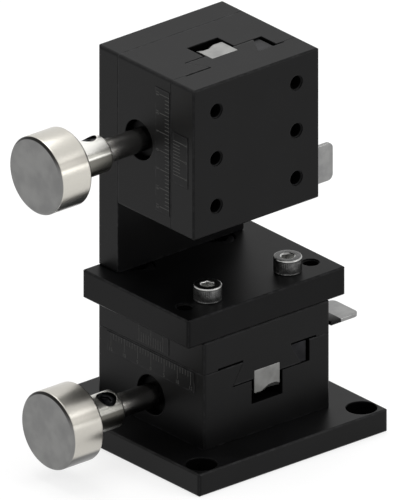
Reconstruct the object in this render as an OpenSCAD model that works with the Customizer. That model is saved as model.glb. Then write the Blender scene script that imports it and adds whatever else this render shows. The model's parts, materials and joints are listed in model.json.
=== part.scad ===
// Rack and pinion stage with two axes. A horizontal slide unit stands on a base
// plate. A bridge plate and a riser on its table carry an identical unit, turned
// to move up and down. X runs along the knobs' shafts, with the knobs at -X.
// The vertical table faces -Y. The origin is the middle of the base's underside.

/* [Base plate] */
// Length of each side of the square base plate
base_w = 60; // [56:1:90]
// Thickness of the base plate
base_t = 6; // [5.5:0.5:12]
// Distance between the base plate's corner holes
base_hole_pitch = 50.8; // [49:0.1:53]
// Diameter of the corner holes
base_hole_d = 4.5; // [3.4:0.1:5.5]
// Diameter of the counterbores over the corner holes
base_cbore_d = 7.8; // [7:0.1:9]
// Depth of the counterbores over the corner holes
base_cbore_depth = 4.2; // [2:0.1:5]

/* [Slide unit] */
// Width of a slide unit, along the knob's shaft
unit_w = 40; // [38:1:50]
// Length of a slide unit, along its travel
unit_l = 40; // [39:1:54]
// Height of a slide unit, from its foot to its table's face
unit_h = 28.5; // [28:0.5:40]
// Height of the fixed body
body_h = 20; // [19.6:0.2:21]
// Travel of a table each way from the middle
travel = 15; // [8:1:16]
// Chamfer on the outer edges of the blocks and plates
edge_chamfer = 0.4; // [0.2:0.1:0.6]
// Radius of the corners of the blocks and plates
corner_r = 0.8; // [0.4:0.1:1.2]
// Chamfer on the edges where two blocks meet
seam_chamfer = 0.08; // [0.04:0.02:0.2]

/* [Dovetail] */
// Angle of the dovetail's flanks
dovetail_angle = 60; // [55:1:65]
// Width of the tongue's neck
neck_w = 15.2; // [14:0.2:16]
// Height of the tongue
tongue_h = 5.4; // [5:0.1:5.8]
// Gap under the tongue
tongue_gap = 0.3; // [0.2:0.05:0.5]
// Height of the relief beside the neck
relief_h = 0.5; // [0.3:0.1:0.8]
// Width across both reliefs
relief_w = 31.2; // [30.2:0.2:33]
// Distance from the unit's middle to the upright wall behind the gib
gib_wall_x = 13.5; // [13.2:0.1:14.5]
// Open gap between the gib and the wall behind it
gib_gap = 0.9; // [0.6:0.1:1.2]
// Distance of the gib's ends from the body's ends
gib_inset = 0.4; // [0.2:0.1:1]

/* [Rack and pinion] */
// Module of the teeth, across the pinion's axis
tooth_module = 0.5; // [0.48:0.01:0.52]
// Number of teeth on the pinion
pinion_teeth = 12; // [12:1:12]
// Pressure angle of the teeth
pressure_angle = 20; // [18:0.5:22]
// Helix angle of the teeth
helix_angle = 10; // [0:1:14]
// Play between the pinion's teeth and the rack's
backlash = 0.1; // [0.08:0.01:0.16]
// Height of the pinion's axis over the body's foot
pinion_axis_h = 8; // [7.7:0.1:8.4]
// Width of the rack
rack_w = 8; // [7:0.5:9]
// Depth that the rack is let into the tongue
rack_seat_depth = 2.1; // [1.5:0.1:2.5]
// Width of the slot that the rack runs in
slot_w = 9.8; // [9.4:0.1:12]
// Height of the slot's floor over the body's foot
slot_floor_h = 8; // [7.5:0.1:9]

/* [Shaft and bushes] */
// Diameter of the pinion's shaft
shaft_d = 6; // [5:0.5:6.5]
// Diameter of the shaft's inner journal
journal_d = 4; // [3:0.5:5]
// Outside diameter of the front bush
front_bush_d = 10.4; // [9.6:0.1:10.8]
// Depth of the front bush's outer end behind the body's side
front_bush_depth = 3; // [2.6:0.1:5]
// Outside diameter of the rear bush
rear_bush_d = 7; // [6:0.2:8]
// Length of the rear bush
rear_bush_l = 6.5; // [5:0.5:8]
// Thickness of the drag washer
washer_t = 0.6; // [0.4:0.1:0.8]
// Outside diameter of the drag washer
washer_d = 9.6; // [9:0.1:9.8]
// Thickness of the retaining ring
ring_t = 0.7; // [0.5:0.1:0.8]
// Outside diameter of the retaining ring
ring_d = 9.2; // [8:0.1:9.4]
// Depth of the retaining ring's groove in the shaft
ring_groove_depth = 0.5; // [0.3:0.1:0.8]
// Width of the retaining ring's opening
ring_mouth = 3; // [2:0.5:4]

/* [Knob] */
// Diameter of the knob
knob_d = 20; // [14:1:26]
// Length of the knob's head
knob_l = 10; // [6:1:16]
// Chamfer round the knob's face
knob_face_chamfer = 0.6; // [0.4:0.1:2]
// Chamfer round the knob's back
knob_back_chamfer = 0.6; // [0.3:0.1:1.5]
// Diameter of the knob's boss
boss_d = 9.5; // [8.5:0.5:12]
// Length of the knob's boss
boss_l = 11.2; // [9:0.2:16]
// Chamfer round the boss's end
boss_chamfer = 0.6; // [0.3:0.1:1]
// Length of bare shaft between the boss and the body
shaft_bare_l = 11.8; // [11:0.2:20]
// Depth of the shaft's end in the knob's head
shaft_seat_depth = 2; // [1:0.5:4]
// Diameter of the tapped hole through the boss's wall
knob_screw_d = 5; // [3:0.5:5]
// Distance of the tapped hole from the boss's end
knob_screw_inset = 3.6; // [3.2:0.1:5]
// Turn of the lower knob's tapped hole, from its unit's -Y side towards its table
x_knob_screw_turn = 70; // [0:5:355]
// Turn of the upper knob's tapped hole, from its unit's -Y side towards its table
z_knob_screw_turn = 200; // [0:5:355]

/* [Clamp] */
// Distance of the clamp screw from the unit's middle, along the travel
clamp_y = 11.5; // [10.5:0.1:12]
// Height of the clamp screw and the gib screws over the body's foot
gib_screw_h = 17; // [16.6:0.1:17.4]
// Diameter of the clamp screw
clamp_screw_d = 4; // [3:0.5:4]
// Diameter of the clamp screw's head
clamp_head_d = 7; // [6:0.5:8]
// Height of the clamp screw's head
clamp_head_h = 2.2; // [1.6:0.2:3]
// Diameter of the clamp lever's eye
lever_eye_d = 8; // [7.6:0.2:8.6]
// Width of the clamp lever's tab
tab_w = 10; // [9:0.5:11]
// Distance from the clamp screw to the middle of the tab, along the travel
tab_offset = 3.5; // [3.2:0.1:4]
// Distance from the body's side to the tip of the lever's tab
tab_l = 9.4; // [6:0.2:14]
// Height of the tab's outer face over the body's foot
tab_h = 22.5; // [22:0.1:24]
// Thickness of the lever's sheet
lever_t = 1; // [0.8:0.1:1.4]
// Inside radius of the lever's bend
lever_bend_r = 0.6; // [0.4:0.1:1]
// Width of the notch between the lever's bend and the rest of its tab
lever_notch = 0.5; // [0.3:0.1:0.8]
// Radius of the tab's outer corners
tab_corner_r = 1.6; // [0.5:0.1:3]
// Length of the clamp pad
clamp_pad_l = 2.8; // [2:0.2:4]

/* [Bridge and riser] */
// Width of the bridge plate
bridge_w = 50; // [48:1:70]
// Thickness of the bridge plate
bridge_t = 7.5; // [7:0.5:12]
// Thickness of the riser plate
riser_t = 7.5; // [7:0.5:10]
// Open height between the bridge plate and the upper unit
upper_gap = 18.5; // [18.5:0.5:40]
// Distance between the bridge plate's two open holes
bridge_hole_pitch = 40; // [36:0.5:41]
// Diameter of the bridge plate's open holes
bridge_hole_d = 4.4; // [3.3:0.1:5]
// Depth of the bridge plate's open holes
bridge_hole_depth = 6; // [4:0.5:6.5]

/* [Table holes] */
// Distance between neighbouring rows of a table's holes
table_hole_pitch = 12.7; // [12:0.1:13]
// Diameter of a table's tapped holes
table_hole_d = 4; // [3:0.1:4.2]
// Depth of a table's tapped holes
table_hole_depth = 5.6; // [5:0.1:6]

/* [Scale] */
// Width of the scale strip
scale_w = 5.3; // [4:0.1:5.4]
// Length of the scale strip
scale_l = 33; // [24:1:37]
// Thickness of the scale strip
scale_t = 0.6; // [0.4:0.1:1]
// Height of the scale strip's lower edge over the body's foot
scale_h = 14.2; // [14:0.1:14.3]
// Depth of the seats of the scale strip and the vernier strip
strip_seat_depth = 0.5; // [0.3:0.1:0.6]
// Length from the scale's middle to its last mark
scale_reach = 15; // [10:1:15]
// Distance between the scale's marks
mark_pitch = 1; // [1:0.5:2]
// Width of a mark
mark_w = 0.2; // [0.1:0.05:0.3]
// Depth of a mark
mark_depth = 0.05; // [0.04:0.01:0.2]
// Length of the scale's short marks
scale_mark_short = 1.6; // [0.8:0.1:2.4]
// Length of the scale's long marks
scale_mark_long = 3.6; // [2.6:0.1:3.8]
// Width of the vernier strip
vernier_w = 5.6; // [4.6:0.1:6]
// Length of the vernier strip
vernier_l = 13.5; // [10:0.5:16]
// Thickness of the vernier strip
vernier_t = 0.6; // [0.5:0.1:1.2]
// Length of the vernier's short marks
vernier_mark_short = 2.6; // [1.4:0.1:3]
// Length of the vernier's long marks
vernier_mark_long = 4.2; // [3.2:0.1:4.4]

/* [Hidden] */
$fn = 72;

// Overrun of every cut past the face that it leaves
over = 1;
// Clearances: sliding faces, running bores, screws in their threads, seats
slide_clear = 0.03;
run_clear = 0.03;
thread_clear = 0.05;
seat_clear = 0.02;
face_clear = 0.05;
// Play round a screw's shank and head in an open hole
shank_play = 0.2;
head_play = 0.3;

// Cap screws: shank, head diameter, head height, socket across flats
m3_d = 3;
m3_head_d = 5.5;
m3_head_h = 3;
m3_socket = 2.5;
m4_d = 4;
m4_head_d = 7;
m4_head_h = 4;
m4_socket = 3;
m2_d = 2;
m2_head_d = 3.8;
m2_head_h = 2;
m2_socket = 1.5;
// Share of a head's height or a set screw's length that its socket goes down
socket_share = 0.5;
// Chamfer round a screw's head and point
screw_chamfer = 0.3;
// Length of screw in its thread
m3_grip = 5;
m4_grip = 4.7;
m2_grip = 3.5;
// Depth of a tapped hole past its screw's end
tap_spare = 1;

// Frame and placement
unit_screw_inset = 5;
unit_screw_x = unit_w / 2 - unit_screw_inset;
unit_screw_y = unit_l / 2 - unit_screw_inset;
m3_sunk = m3_head_h + head_play;
m4_sunk = m4_head_h + head_play;
bridge_z = base_t + unit_h;
bridge_top_z = bridge_z + bridge_t;
riser_h = upper_gap + unit_l;
riser_front_y = unit_l / 2 - riser_t;
riser_mid_y = riser_front_y + riser_t / 2;
upper_z = bridge_top_z + upper_gap + unit_l / 2;
riser_screw_x = 4.5;
dowel_x = 17.6;
dowel_d = 3;
dowel_l = 9;
dowel_seat = 4;
dowel_wall = 0.6;

// Dovetail
flank_run = 1 / tan(dovetail_angle);
flank_clear = slide_clear / sin(dovetail_angle);
groove_depth = tongue_h + tongue_gap;
groove_floor_h = body_h - groove_depth;
tongue_floor_h = body_h - tongue_h;
tongue_w = neck_w + 2 * tongue_h * flank_run;
gib_clear = 0.1;
gib_back_x = gib_wall_x - gib_gap;
gib_low_h = groove_floor_h + gib_clear;
gib_high_h = body_h - gib_clear;

// Travel stop
stop_pin_d = 3;
stop_pin_x = -13.3;
stop_pin_wall = 0.8;
stop_pin_foot_h = pinion_axis_h + front_bush_d / 2 + stop_pin_wall;
stop_pin_rise = 1.9;
stop_slot_w = stop_pin_d + 2 * shank_play;
stop_slot_depth = 2.2;
stop_slot_l = 2 * travel + stop_pin_d + 2 * face_clear;

// Teeth
tooth_pitch = PI * tooth_module;
pitch_r = tooth_module * pinion_teeth / 2;
base_r = pitch_r * cos(pressure_angle);
profile_shift_share = 0.3;
addendum_share = 1;
dedendum_share = 1.25;
profile_shift = profile_shift_share * tooth_module;
tip_r = pitch_r + addendum_share * tooth_module + profile_shift;
root_r = pitch_r - dedendum_share * tooth_module + profile_shift;
pinion_tooth_t = tooth_pitch / 2 + 2 * profile_shift * tan(pressure_angle) - backlash;
rack_line_h = pinion_axis_h + pitch_r + profile_shift;
rack_tip_h = rack_line_h - addendum_share * tooth_module;
rack_root_h = rack_line_h + dedendum_share * tooth_module;
rack_top_h = tongue_floor_h + rack_seat_depth;
rack_teeth = ceil(unit_l / tooth_pitch / 2) + 2;
rack_head_gap = 0.15;
rack_screw_inset = 5.5;
rack_screw_y = unit_l / 2 - rack_screw_inset;
pinion_side_clear = 0.1;
pinion_w = slot_w - 2 * pinion_side_clear;
helix_turn = tan(helix_angle) * pinion_w / pitch_r * 180 / PI;
flank_shares = [0, 0.25, 0.5, 0.75, 1];
helix_slices = pinion_teeth / 2;
pinion_play = 0.6;

// Shaft and knob, along the knob's side of the unit
side_x = unit_w / 2;
slot_x = slot_w / 2;
bush_out_x = side_x - front_bush_depth;
washer_x = bush_out_x + face_clear;
ring_x = washer_x + washer_t + face_clear;
boss_end_x = side_x + shaft_bare_l;
knob_back_x = boss_end_x + boss_l;
knob_face_x = knob_back_x + knob_l;
shaft_end_x = knob_back_x + shaft_seat_depth;
knob_bore_gap = 0.5;
knob_screw_x = boss_end_x + knob_screw_inset;
shaft_flat_depth = 0.4;
shaft_flat_l = knob_screw_d + 2 * head_play;
knob_screw_sunk = 0.7;
pinion_end_x = pinion_w / 2;
journal_gap = 0.5;
bush_screw_x = 12;

// Gib screws and clamp
gib_screw_d = 3;
gib_screw_socket = 1.5;
gib_screw_sunk = 1.2;
gib_screw_shares = [-0.1125, 0.1125, 0.3375];
lever_gap = 0.3;
lever_x = side_x + lever_gap;
head_x = lever_x + lever_t;
clamp_socket = 2.5;
pad_x = gib_back_x;
pad_end_x = pad_x + clamp_pad_l;
clamp_tip_gap = 0.1;
bend_out_r = lever_bend_r + lever_t;

// Scale
long_mark_every = 5;
mark_edge = 0.1;
vernier_lift = 0.3;
vernier_h = body_h + relief_h + vernier_lift;
vernier_marks = 10;
vernier_pitch_share = 0.9;

// Colours
black = "#2a2a2b";
black_plate = "#333334";
silver = "#cfcec8";
steel = "#b4b4b2";
dark_steel = "#4a4a4c";
brass = "#c09a4e";

// Shared shapes

// Rectangle centred on its place, with its low corners cut off by low_c and its
// high ones by high_c
module cut_rect(w, l, low_c, high_c) {
    x = w / 2;
    y = l / 2;
    polygon([
        [-x + low_c, -y], [x - low_c, -y], [x, -y + low_c], [x, y - high_c],
        [x - high_c, y], [-x + high_c, y], [-x, y - high_c], [-x, -y + low_c]
    ]);
}

// Rectangle centred on its place, with its low corners rounded to low_r and its
// high ones to high_r
module round_rect(w, l, low_r, high_r) {
    translate([-w / 2, -l / 2 + low_r])
        square([w, l - low_r - high_r]);
    translate([-w / 2 + low_r, -l / 2])
        square([w - 2 * low_r, l / 2]);
    translate([-w / 2 + high_r, 0])
        square([w - 2 * high_r, l / 2]);
    for (x = [-1, 1]) {
        translate([x * (w / 2 - low_r), -l / 2 + low_r]) circle(r = low_r);
        translate([x * (w / 2 - high_r), l / 2 - high_r]) circle(r = high_r);
    }
}

// Block that stands on its place, with rounded corners and a chamfer on its other
// edges. The edges round its foot, its top and its front can have sizes of their own.
module block(w, l, h, foot_c = edge_chamfer, top_c = edge_chamfer, front_c = corner_r) {
    intersection() {
        linear_extrude(h) round_rect(w, l, front_c, corner_r);
        translate([0, l / 2, h / 2])
            rotate([90, 0, 0])
                linear_extrude(l) cut_rect(w, h, foot_c, top_c);
        translate([-w / 2, 0, h / 2])
            rotate([90, 0, 90])
                linear_extrude(w) cut_rect(l, h, min(foot_c, front_c), min(top_c, front_c));
    }
}

// Cap screw: its head stands on its place, and its shank goes down
module cap_screw(d, head_d, head_h, socket, shank_l) {
    difference() {
        union() {
            cylinder(d = head_d, h = head_h - screw_chamfer);
            translate([0, 0, head_h - screw_chamfer])
                cylinder(d1 = head_d, d2 = head_d - 2 * screw_chamfer, h = screw_chamfer);
            translate([0, 0, -shank_l + screw_chamfer])
                cylinder(d = d - 2 * thread_clear, h = shank_l - screw_chamfer);
            translate([0, 0, -shank_l])
                cylinder(d1 = d - 2 * thread_clear - 2 * screw_chamfer,
                         d2 = d - 2 * thread_clear, h = screw_chamfer);
        }
        translate([0, 0, head_h * (1 - socket_share)])
            cylinder(d = socket / cos(30), h = head_h, $fn = 6);
    }
}

// Set screw: its socket end is at its place, and its point is l below
module set_screw(d, socket, l) {
    body_d = d - 2 * thread_clear;
    difference() {
        union() {
            translate([0, 0, -l + screw_chamfer])
                cylinder(d = body_d, h = l - screw_chamfer);
            translate([0, 0, -l])
                cylinder(d1 = body_d - 2 * screw_chamfer, d2 = body_d, h = screw_chamfer);
        }
        translate([0, 0, -l * socket_share])
            cylinder(d = socket / cos(30), h = l, $fn = 6);
    }
}

// Counterbored hole, from the face that its place is on, down through depth
module sunk_hole(d, head_d, sunk, depth) {
    translate([0, 0, -depth - over])
        cylinder(d = d + 2 * shank_play, h = depth + 2 * over);
    translate([0, 0, -sunk])
        cylinder(d = head_d + 2 * head_play, h = sunk + over);
}

// Four places at the corners of a rectangle
module at_corners(x, y) {
    for (sx = [-1, 1])
        for (sy = [-1, 1])
            translate([sx * x, sy * y, 0]) children();
}

// Two places, one each side of the middle
module at_pair(x, y) {
    for (sx = [-1, 1])
        translate([sx * x, y, 0]) children();
}

// Where the two units stand. A unit is drawn with its foot on the ground, its
// travel along Y and its knob at -X.
module lower() {
    translate([0, 0, base_t]) children();
}

module upper() {
    translate([0, riser_front_y, upper_z])
        rotate([90, 0, 0]) children();
}

// Turns a shape drawn up the Z axis to lie along +X on the pinion's axis
module on_shaft() {
    translate([0, 0, pinion_axis_h])
        rotate([0, 90, 0]) children();
}

// A round bar along the knob's side, between two distances from the middle
module shaft_bar(d, near_x, far_x) {
    on_shaft()
        translate([0, 0, -far_x])
            cylinder(d = d, h = far_x - near_x);
}

// A hole or screw from the side away from the knob, with its place on that side
module from_far_side(y, x) {
    translate([x, y, gib_screw_h])
        rotate([0, 90, 0]) children();
}

// Teeth

function involute(a) = tan(a) * 180 / PI - a;

// Half the angle that a pinion tooth takes up at radius r
function tooth_half(r) =
    pinion_tooth_t / (2 * pitch_r) * 180 / PI + involute(pressure_angle)
    - involute(acos(min(1, base_r / r)));

// A point of a tooth's flank at radius r, on one side of the tooth or the other
function flank_point(turn, side, r, r_tooth) =
    r * [cos(turn + side * tooth_half(r_tooth)), sin(turn + side * tooth_half(r_tooth))];

function flank_points(turn, side) = concat(
    [flank_point(turn, side, root_r, base_r)],
    [for (share = flank_shares)
        let (r = base_r + (tip_r - base_r) * share) flank_point(turn, side, r, r)]
);

function tooth_points(turn) = concat(
    flank_points(turn, -1),
    [for (i = [len(flank_shares) : -1 : 0]) flank_points(turn, 1)[i]]
);

module pinion_outline() {
    polygon([for (i = [0 : pinion_teeth - 1])
        each tooth_points((i + 0.5) * 360 / pinion_teeth)]);
}

// Outline of the rack's toothed side: across is along the rack, up is away
// from the pinion. One tooth lies at the middle.
module rack_outline() {
    half_tip = tooth_pitch / 4 - addendum_share * tooth_module * tan(pressure_angle);
    half_root = tooth_pitch / 4 + dedendum_share * tooth_module * tan(pressure_angle);
    squeeze = cos(helix_angle);
    reach = (rack_teeth + 0.5) * tooth_pitch;
    polygon(concat(
        [[-reach * squeeze, rack_top_h + over], [-reach * squeeze, rack_root_h]],
        [for (i = [-rack_teeth : rack_teeth]) each [
            [(i * tooth_pitch - half_root) * squeeze, rack_root_h],
            [(i * tooth_pitch - half_tip) * squeeze, rack_tip_h],
            [(i * tooth_pitch + half_tip) * squeeze, rack_tip_h],
            [(i * tooth_pitch + half_root) * squeeze, rack_root_h]
        ]],
        [[reach * squeeze, rack_root_h], [reach * squeeze, rack_top_h + over]]
    ));
}

// Pieces of one slide unit

// The fixed half: female dovetail, rack slot, pinion bore and screw holes
module unit_body() {
    groove_reach = groove_depth + over;
    groove_top_h = body_h + over;
    color(black)
    difference() {
        block(unit_w, unit_l, body_h, foot_c = seam_chamfer, top_c = seam_chamfer);
        translate([0, unit_l / 2 + over, 0])
            rotate([90, 0, 0])
                linear_extrude(unit_l + 2 * over)
                    polygon([
                        [-neck_w / 2 - flank_clear - groove_depth * flank_run, groove_floor_h],
                        [gib_wall_x, groove_floor_h],
                        [gib_wall_x, groove_top_h],
                        [-neck_w / 2 - flank_clear + over * flank_run, groove_top_h]
                    ]);
        translate([-slot_x, -unit_l / 2 - over, slot_floor_h])
            cube([slot_w, unit_l + 2 * over, groove_reach + groove_floor_h - slot_floor_h]);
        shaft_bar(front_bush_d, slot_x - over, side_x + over);
        shaft_bar(2 * (tip_r + pinion_play), -slot_x, slot_x);
        shaft_bar(rear_bush_d, -slot_x - rear_bush_l, -slot_x + over);
        translate([-bush_screw_x, 0, -over])
            cylinder(d = m3_d, h = pinion_axis_h + over);
        at_corners(unit_screw_x, unit_screw_y)
            translate([0, 0, -over])
                cylinder(d = m3_d, h = m3_grip + tap_spare + over);
        from_far_side(-clamp_y, gib_wall_x - over)
            cylinder(d = clamp_screw_d, h = side_x - gib_wall_x + 2 * over);
        for (share = gib_screw_shares)
            from_far_side(share * unit_l, gib_wall_x - over)
                cylinder(d = gib_screw_d, h = side_x - gib_wall_x + 2 * over);
        translate([stop_pin_x, 0, stop_pin_foot_h])
            cylinder(d = stop_pin_d, h = body_h - stop_pin_foot_h + over);
        translate([-side_x - over, -scale_l / 2 - seat_clear, scale_h - seat_clear])
            cube([strip_seat_depth + over, scale_l + 2 * seat_clear, scale_w + 2 * seat_clear]);
    }
}

// The moving half: plate, tongue, rack seat and six tapped holes
module unit_table() {
    low_h = body_h + slide_clear;
    plate_t = unit_h - low_h;
    color(black)
    difference() {
        union() {
            translate([0, 0, low_h]) block(unit_w, unit_l, plate_t, foot_c = seam_chamfer);
            translate([0, unit_l / 2, 0])
                rotate([90, 0, 0])
                    linear_extrude(unit_l)
                        polygon([
                            [-tongue_w / 2, tongue_floor_h],
                            [tongue_w / 2, tongue_floor_h],
                            [neck_w / 2, body_h],
                            [neck_w / 2, low_h + relief_h + over],
                            [-neck_w / 2, low_h + relief_h + over],
                            [-neck_w / 2, body_h]
                        ]);
        }
        at_pair((relief_w + neck_w) / 4, 0)
            translate([-(relief_w - neck_w) / 4, -unit_l / 2 - over, body_h])
                cube([(relief_w - neck_w) / 2, unit_l + 2 * over, relief_h + slide_clear]);
        translate([-rack_w / 2 - seat_clear, -unit_l / 2 - over, tongue_floor_h - over])
            cube([rack_w + 2 * seat_clear, unit_l + 2 * over, rack_seat_depth + over]);
        for (sy = [-1, 1])
            translate([0, sy * rack_screw_y, rack_top_h - over])
                cylinder(d = m2_d, h = m2_grip + tap_spare + over);
        translate([stop_pin_x - stop_slot_w / 2, -stop_slot_l / 2 + stop_slot_w / 2, low_h - over])
            cube([stop_slot_w, stop_slot_l - stop_slot_w, stop_slot_depth + over]);
        for (sy = [-1, 1])
            translate([stop_pin_x, sy * (stop_slot_l - stop_slot_w) / 2, low_h - over])
                cylinder(d = stop_slot_w, h = stop_slot_depth + over);
        for (row = [-1 : 1])
            at_pair(table_hole_pitch, row * table_hole_pitch)
                translate([0, 0, unit_h - table_hole_depth])
                    cylinder(d = table_hole_d, h = table_hole_depth + over);
        translate([-side_x - over, -vernier_l / 2 - seat_clear, vernier_h - seat_clear])
            cube([strip_seat_depth + over, vernier_l + 2 * seat_clear, vernier_w + 2 * seat_clear]);
    }
}

// Steel rack with helical teeth, let into the tongue
module unit_rack() {
    color(silver)
    difference() {
        intersection() {
            translate([-rack_w / 2, -unit_l / 2, rack_tip_h - over])
                cube([rack_w, unit_l, rack_top_h - rack_tip_h + over]);
            rotate([0, 0, -helix_angle])
                rotate([90, 0, 90])
                    translate([0, 0, -unit_w / 2])
                        linear_extrude(unit_w) rack_outline();
        }
        for (sy = [-1, 1])
            translate([0, sy * rack_screw_y, 0]) {
                translate([0, 0, rack_tip_h - over])
                    cylinder(d = m2_head_d + 2 * head_play,
                             h = rack_root_h + rack_head_gap + m2_head_h - rack_tip_h + over);
                translate([0, 0, rack_tip_h])
                    cylinder(d = m2_d + 2 * shank_play, h = rack_top_h - rack_tip_h + over);
            }
    }
}

// Two small cap screws that hold the rack, sunk below its teeth
module unit_rack_screws() {
    head_seat_h = rack_root_h + rack_head_gap + m2_head_h;
    color(steel)
    for (sy = [-1, 1])
        translate([0, sy * rack_screw_y, head_seat_h])
            rotate([180, 0, 0])
                cap_screw(m2_d, m2_head_d, m2_head_h, m2_socket,
                          rack_top_h - head_seat_h + m2_grip);
}

// The adjustable strip between the tongue's flank and the upright wall
module unit_gib() {
    color(dark_steel)
    translate([0, unit_l / 2 - gib_inset, 0])
        rotate([90, 0, 0])
            linear_extrude(unit_l - 2 * gib_inset)
                polygon([
                    [neck_w / 2 + flank_clear + (body_h - gib_low_h) * flank_run, gib_low_h],
                    [gib_back_x, gib_low_h],
                    [gib_back_x, gib_high_h],
                    [neck_w / 2 + flank_clear + (body_h - gib_high_h) * flank_run, gib_high_h]
                ]);
}

// Three set screws that press the gib against the tongue
module unit_gib_screws() {
    color(dark_steel)
    for (share = gib_screw_shares)
        from_far_side(share * unit_l, side_x - gib_screw_sunk)
            set_screw(gib_screw_d, gib_screw_socket, side_x - gib_screw_sunk - gib_back_x);
}

// Brass plug that the clamp screw pushes against the gib
module unit_clamp_pad() {
    color(brass)
    from_far_side(-clamp_y, pad_x)
        cylinder(d = clamp_screw_d - 2 * thread_clear, h = clamp_pad_l);
}

// Clamp screw with a low head outside the lever
module unit_clamp_screw() {
    tip_x = pad_end_x + clamp_tip_gap;
    color(steel)
    from_far_side(-clamp_y, head_x)
        cap_screw(clamp_screw_d, clamp_head_d, clamp_head_h, clamp_socket, head_x - tip_x);
}

// Stamped sheet lever: an eye and a leg under the clamp screw's head, bent out to
// a finger tab that reaches past the leg
module unit_clamp_lever() {
    eye_r = lever_eye_d / 2;
    tab_low_y = -clamp_y - tab_offset - tab_w / 2;
    leg_l = tab_low_y + tab_w + clamp_y + eye_r;
    bend_h = tab_h - bend_out_r;
    tab_x = lever_x + bend_out_r;
    tab_end_x = side_x + tab_l;
    color(silver)
    difference() {
        union() {
            from_far_side(-clamp_y, lever_x)
                cylinder(d = lever_eye_d, h = lever_t);
            translate([lever_x, -clamp_y - eye_r, gib_screw_h])
                cube([lever_t, leg_l, bend_h - gib_screw_h]);
            intersection() {
                translate([tab_x, -clamp_y - eye_r + leg_l, bend_h])
                    rotate([90, 0, 0])
                        difference() {
                            cylinder(r = bend_out_r, h = leg_l);
                            translate([0, 0, -over])
                                cylinder(r = lever_bend_r, h = leg_l + 2 * over);
                        }
                translate([lever_x, -clamp_y - eye_r, bend_h])
                    cube([bend_out_r, leg_l, bend_out_r]);
            }
            translate([lever_x, tab_low_y, tab_h - lever_t])
                cube([bend_out_r, tab_w - leg_l - lever_notch, lever_t]);
            translate([tab_x, tab_low_y, tab_h - lever_t])
                cube([tab_end_x - tab_corner_r - tab_x, tab_w, lever_t]);
            translate([tab_x, tab_low_y + tab_corner_r, tab_h - lever_t])
                cube([tab_end_x - tab_x, tab_w - 2 * tab_corner_r, lever_t]);
            for (corner_y = [tab_low_y + tab_corner_r, tab_low_y + tab_w - tab_corner_r])
                translate([tab_end_x - tab_corner_r, corner_y, tab_h - lever_t])
                    cylinder(r = tab_corner_r, h = lever_t);
        }
        from_far_side(-clamp_y, lever_x - over)
            cylinder(d = clamp_screw_d, h = lever_t + 2 * over);
    }
}

// Shaft with its pinion cut on it and a journal past the pinion
module unit_pinion_shaft(screw_turn) {
    color(steel)
    difference() {
        union() {
            shaft_bar(shaft_d, pinion_end_x, shaft_end_x);
            on_shaft()
                linear_extrude(pinion_w, center = true, twist = -helix_turn, slices = helix_slices)
                    rotate(-helix_turn / 2) pinion_outline();
            shaft_bar(journal_d, -slot_x - rear_bush_l + journal_gap, bush_out_x);
        }
        on_shaft()
            translate([0, 0, -ring_x - ring_t - face_clear])
                difference() {
                    cylinder(d = shaft_d + over, h = ring_t + 2 * face_clear);
                    cylinder(d = shaft_d - 2 * ring_groove_depth, h = ring_t + 2 * face_clear);
                }
        at_knob_screw(screw_turn)
            translate([-shaft_flat_l / 2, -shaft_d / 2, shaft_d / 2 - shaft_flat_depth])
                cube([shaft_flat_l, shaft_d, shaft_d]);
    }
}

// The knob's tapped hole: Z goes out of its mouth, and its place is on the axis
module at_knob_screw(screw_turn) {
    translate([-knob_screw_x, 0, pinion_axis_h])
        rotate([90 - screw_turn, 0, 0]) children();
}

// Bush that carries the shaft at the knob's side
module unit_front_bush() {
    color(brass)
    difference() {
        shaft_bar(front_bush_d - 2 * seat_clear, slot_x, bush_out_x);
        shaft_bar(shaft_d + 2 * run_clear, slot_x - over, bush_out_x + over);
    }
}

// Bush that carries the journal past the pinion
module unit_rear_bush() {
    color(brass)
    difference() {
        shaft_bar(rear_bush_d - 2 * seat_clear, -slot_x - rear_bush_l, -slot_x);
        shaft_bar(journal_d + 2 * run_clear, -slot_x - rear_bush_l - over, -slot_x + over);
    }
}

// Set screw in the foot that holds the front bush
module unit_bush_screw() {
    point_h = pinion_axis_h - front_bush_d / 2;
    color(dark_steel)
    translate([-bush_screw_x, 0, point_h - face_clear])
        rotate([180, 0, 0])
            translate([0, 0, point_h - 2 * face_clear])
                set_screw(m3_d, gib_screw_socket, point_h - 2 * face_clear);
}

// Washer between the bush and the retaining ring, for the shaft's drag
module unit_drag_washer() {
    color(dark_steel)
    difference() {
        shaft_bar(washer_d, washer_x, washer_x + washer_t);
        shaft_bar(shaft_d + 2 * thread_clear, washer_x - over, washer_x + washer_t + over);
    }
}

// Open ring in the shaft's groove that keeps the shaft from moving inwards
module unit_retaining_ring() {
    groove_d = shaft_d - 2 * ring_groove_depth;
    color(dark_steel)
    difference() {
        shaft_bar(ring_d, ring_x, ring_x + ring_t);
        shaft_bar(groove_d + 2 * seat_clear, ring_x - over, ring_x + ring_t + over);
        on_shaft()
            translate([0, -ring_mouth / 2, -ring_x - ring_t - over])
                cube([ring_d, ring_mouth, ring_t + 2 * over]);
    }
}

// Turned knob with a boss that takes the shaft's end and a set screw
module unit_knob(screw_turn) {
    r = knob_d / 2;
    boss_r = boss_d / 2;
    color(silver)
    difference() {
        on_shaft()
            rotate_extrude()
                polygon([
                    [0, -knob_face_x],
                    [r - knob_face_chamfer, -knob_face_x],
                    [r, -knob_face_x + knob_face_chamfer],
                    [r, -knob_back_x - knob_back_chamfer],
                    [r - knob_back_chamfer, -knob_back_x],
                    [boss_r, -knob_back_x],
                    [boss_r, -boss_end_x - boss_chamfer],
                    [boss_r - boss_chamfer, -boss_end_x],
                    [0, -boss_end_x]
                ]);
        shaft_bar(shaft_d + 2 * seat_clear, boss_end_x - over, shaft_end_x + knob_bore_gap);
        at_knob_screw(screw_turn)
            cylinder(d = knob_screw_d, h = boss_d);
    }
}

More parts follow.
